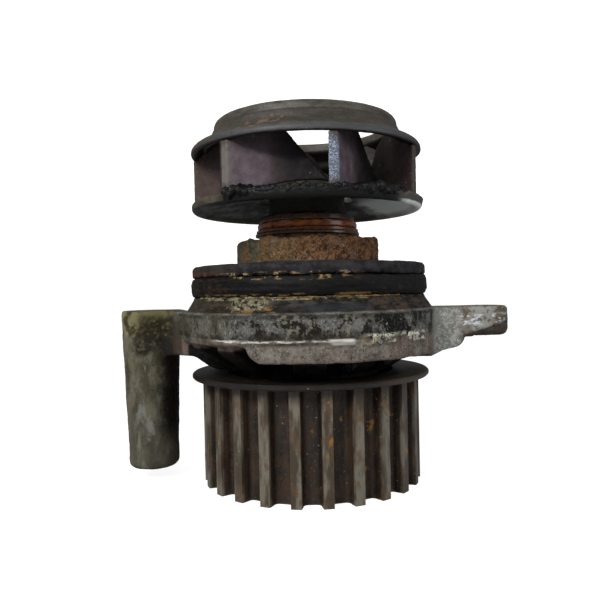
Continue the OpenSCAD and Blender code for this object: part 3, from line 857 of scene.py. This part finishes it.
def pulley_material(name, disc=False):
    """Sintered steel: brown oxide film, rubbed bright on the tooth lands, oil in the spaces."""
    g = Graph(name, specular=0.45)
    fine = g.noise(0.5, 1, 3, 0.7)
    mid = g.noise(2.6, 2, 5, 0.6, (1, 1, 0.6))
    tall = g.noise(3.0, 3, 5, 0.6, (1, 1, 0.22))
    c = g.mix(tall.over(0.36, 0.64), rgb(28, 21, 16), rgb(60, 47, 37))
    c = g.mix(mid.over(0.50, 0.62) * 0.6, c, rgb(70, 47, 30))
    c = g.mix(mid.over(0.42, 0.32) * 0.6, c, rgb(30, 26, 24))
    c = g.mix(fine.over(0.58, 0.68) * 0.4, c, rgb(120, 100, 82))
    if disc:
        c = g.mix(0.75, c, rgb(12, 9, 7))
        # painted shadow: the disc's top face darkens towards the shaft, under the housing
        c = g.mix(g.r.over(29.5, 25) * 0.85 * g.up.over(0.5, 0.8), c, rgb(6, 5, 5))
        c = g.mix(g.a.over(25, 50) * g.r.over(26, 29) * 0.6, c, rgb(82, 70, 55))
        rough = g.blend(fine, 0.35, 0.55)
    else:
        land = g.r.over(28.8, 29.5)
        lc = g.mix(tall.over(0.42, 0.58), rgb(74, 64, 50), rgb(124, 118, 104))
        lc = g.mix(mid.over(0.52, 0.62) * 0.7, lc, rgb(100, 72, 48))
        lc = g.mix(g.z.over(-23, -19) * 0.75, lc, rgb(56, 44, 36))
        c = g.mix(land * 0.85, c, lc)
        gold = g.noise(3.4, 6, 5, 0.6, (1, 1, 0.8)).over(0.63, 0.67) * g.a.band(0, 60, 8)
        c = g.mix(gold * 0.8, c, rgb(146, 104, 42))
        end = g.z.over(-45.9, -46.25)
        c = g.mix(end * 0.5, c, rgb(110, 102, 92))
        rough = g.blend(land, 0.50, 0.34)
    c = g.mix(g.cells(2.4, 7).over(0.10, 0.05) * 0.6, c, rgb(150, 140, 124))
    return g.finish(c, rough, fine * 0.07 + mid * 0.06, 1.0, 0.8)


def metal_material(name, base, bright, rough=0.25, stretch=(1, 1, 1), rust=0.0):
    g = Graph(name, metallic=1.0)
    fine = g.noise(0.3, 1, 3, 0.6, stretch)
    mid = g.noise(3.0, 2, 4, 0.6)
    c = g.mix(mid.over(0.35, 0.65), base, bright)
    c = g.mix(fine.over(0.55, 0.7) * 0.3, c, rgb(90, 84, 78))
    if rust:
        c = g.mix(mid.over(0.54, 0.62) * rust, c, rgb(90, 52, 30))
    return g.finish(c, g.blend(fine, rough * 0.7, rough * 1.5), fine * 0.03, 1.0, 0.5)


def dull_material(name, base, light, rough=0.6, size=1.0, specular=0.4):
    g = Graph(name, specular=specular)
    fine = g.noise(0.3 * size, 1, 3, 0.6)
    mid = g.noise(2.5 * size, 2, 5, 0.6)
    c = g.mix(mid.over(0.35, 0.65), base, light)
    c = g.mix(fine.over(0.58, 0.68) * 0.3, c, light)
    return g.finish(c, g.blend(mid, rough * 0.8, rough * 1.15), fine * 0.06 + mid * 0.05, 1.0, 0.7)


# ---- putting it together ----

def dress(node, material, bevel=0.0):
    """Give a CAD node its finish, and soften its machined edges a little."""
    ob = NODES[node]
    for slot in ob.material_slots:
        slot.material = material
    if bevel:
        mod = ob.modifiers.new("edges", "BEVEL")
        mod.width = bevel * MM
        mod.segments = 2
        mod.limit_method = "ANGLE"
        mod.angle_limit = math.radians(35)
        mod.harden_normals = False


def build_housing():
    piece = dense_copy("housing", 0.42)
    wear_housing(piece)
    settle(piece, "housing", "pump_body", housing_material())
    ring = dense_copy("flange_o_ring", 0.35)
    wear_ring(ring)
    settle(ring, "flange_o_ring", "pump_body", rubber_material())


def build_impeller():
    plate = dense_copy("impeller_back_plate", 0.36, 2)
    wear_back_plate(plate)
    settle(plate, "impeller_back_plate", "rotor", plate_material())
    blades = dense_copy("impeller_blades", 0.33, 2)
    wear_blades(blades)
    settle(blades, "impeller_blades", "rotor", blade_material())
    shroud = dense_copy("impeller_shroud", 0.3, 1)
    wear_shroud(shroud)
    settle(shroud, "impeller_shroud", "rotor", shroud_material())
    tar = swept_lump("black_deposit", np.linspace(-43, 66, 320), tar_line, tar_thickness, 151)
    tar.data.materials.append(tar_material())
    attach(tar, "rotor")


def tar_line(a):
    return 30.9 - 0.5 * rise(a, 30, 60), 29.25


def tar_thickness(a):
    lumps = math.exp(-((a + 33) / 7) ** 2) * 1.2 + math.exp(-((a - 38) / 11) ** 2) * 1.15
    fade = min(1, (a + 43) / 4, (66 - a) / 14)
    return max(0.02, (1.05 + 0.8 * lumps) * fade)


def tar_material():
    g = Graph("tar_like_deposit", specular=0.28)
    fine = g.noise(0.5, 1, 4, 0.7)
    c = g.mix(fine.over(0.54, 0.70), rgb(4, 4, 4), rgb(34, 34, 38))
    return g.finish(c, g.blend(fine, 0.22, 0.5), fine * 0.25, 1.0, 0.9)


def sealant_line(a):
    return 31.75, 3.75


def sealant_thickness(a):
    return 0.22 + 0.22 * math.exp(-((a + 26) / 7) ** 2) + 0.06 * math.sin(a * 0.9)


def build_sealant():
    bead = swept_lump("dried_sealant", np.linspace(-60, 44, 420), sealant_line, sealant_thickness, 161, 10)
    g = Graph("dried_sealant", specular=0.3)
    arc = g.noise(2.4, 1, 5, 0.65)
    fine = g.noise(0.5, 2, 3, 0.6)
    c = g.mix((g.a + (arc - 0.5) * 40).over(-26, -6), rgb(126, 118, 92), rgb(128, 98, 50))
    c = g.mix(arc.over(0.50, 0.58) * 0.9, c, rgb(36, 30, 22))
    c = g.mix(fine.over(0.56, 0.66) * 0.6, c, rgb(190, 184, 158))
    bead.data.materials.append(g.finish(c, 0.7, fine * 0.2, 1.0, 0.8))
    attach(bead, "pump_body")


def dress_seal():
    dress("seal_cup", copper_material("seal_cup", rgb(74, 44, 26), rgb(122, 72, 40)), 0.25)
    dress("seal_sleeve", copper_material("seal_sleeve", rgb(122, 62, 24), rgb(176, 98, 38), 0.12, 0.3), 0.3)
    collar = copper_material("seal_rubber_collar", rgb(36, 24, 16), rgb(74, 46, 26), 0.25, 0.5)
    dress("seal_rubber_collar", collar)
    dress("seal_seat_ring", dull_material("seal_seat_ring", rgb(110, 96, 66), rgb(170, 158, 122), 0.7))
    dress("seal_bellows", dull_material("seal_bellows", rgb(18, 18, 18), rgb(36, 35, 34), 0.55))
    dress("seal_spring", metal_material("seal_spring", rgb(150, 150, 150), rgb(190, 190, 192)))
    dress("seal_carbon_ring", dull_material("seal_carbon_ring", rgb(34, 34, 36), rgb(54, 54, 58), 0.4))
    dress("seal_mating_ring", dull_material("seal_mating_ring", rgb(206, 200, 186), rgb(226, 222, 212), 0.3))


def dress_bearing():
    steel = metal_material("bearing_steel", rgb(150, 150, 152), rgb(196, 196, 200), 0.2)
    for node in ("bearing_outer_ring", "balls_inner", "balls_outer"):
        dress(node, steel)
    worn_steel = metal_material("shaft", rgb(120, 116, 112), rgb(168, 166, 164), 0.28, (1, 1, 6), 0.7)
    dress("shaft", worn_steel, 0.15)
    cage = dull_material("ball_cage", rgb(120, 92, 52), rgb(158, 126, 76), 0.45)
    seal = dull_material("bearing_seal", rgb(20, 20, 22), rgb(40, 38, 36), 0.6)
    for node in ("ball_cage_inner", "ball_cage_outer"):
        dress(node, cage)
    for node in ("bearing_seal_inner", "bearing_seal_outer"):
        dress(node, seal)
    brass = metal_material("impeller_insert", rgb(120, 104, 74), rgb(158, 142, 108), 0.35)
    dress("impeller_insert", brass, 0.1)


def dress_pulley():
    dress("pulley", pulley_material("sintered_pulley"), 0.22)
    dress("pulley_guide_disc", pulley_material("guide_disc", disc=True), 0.12)


make_stage()
build_housing()
build_sealant()
build_impeller()
dress_seal()
dress_bearing()
dress_pulley()
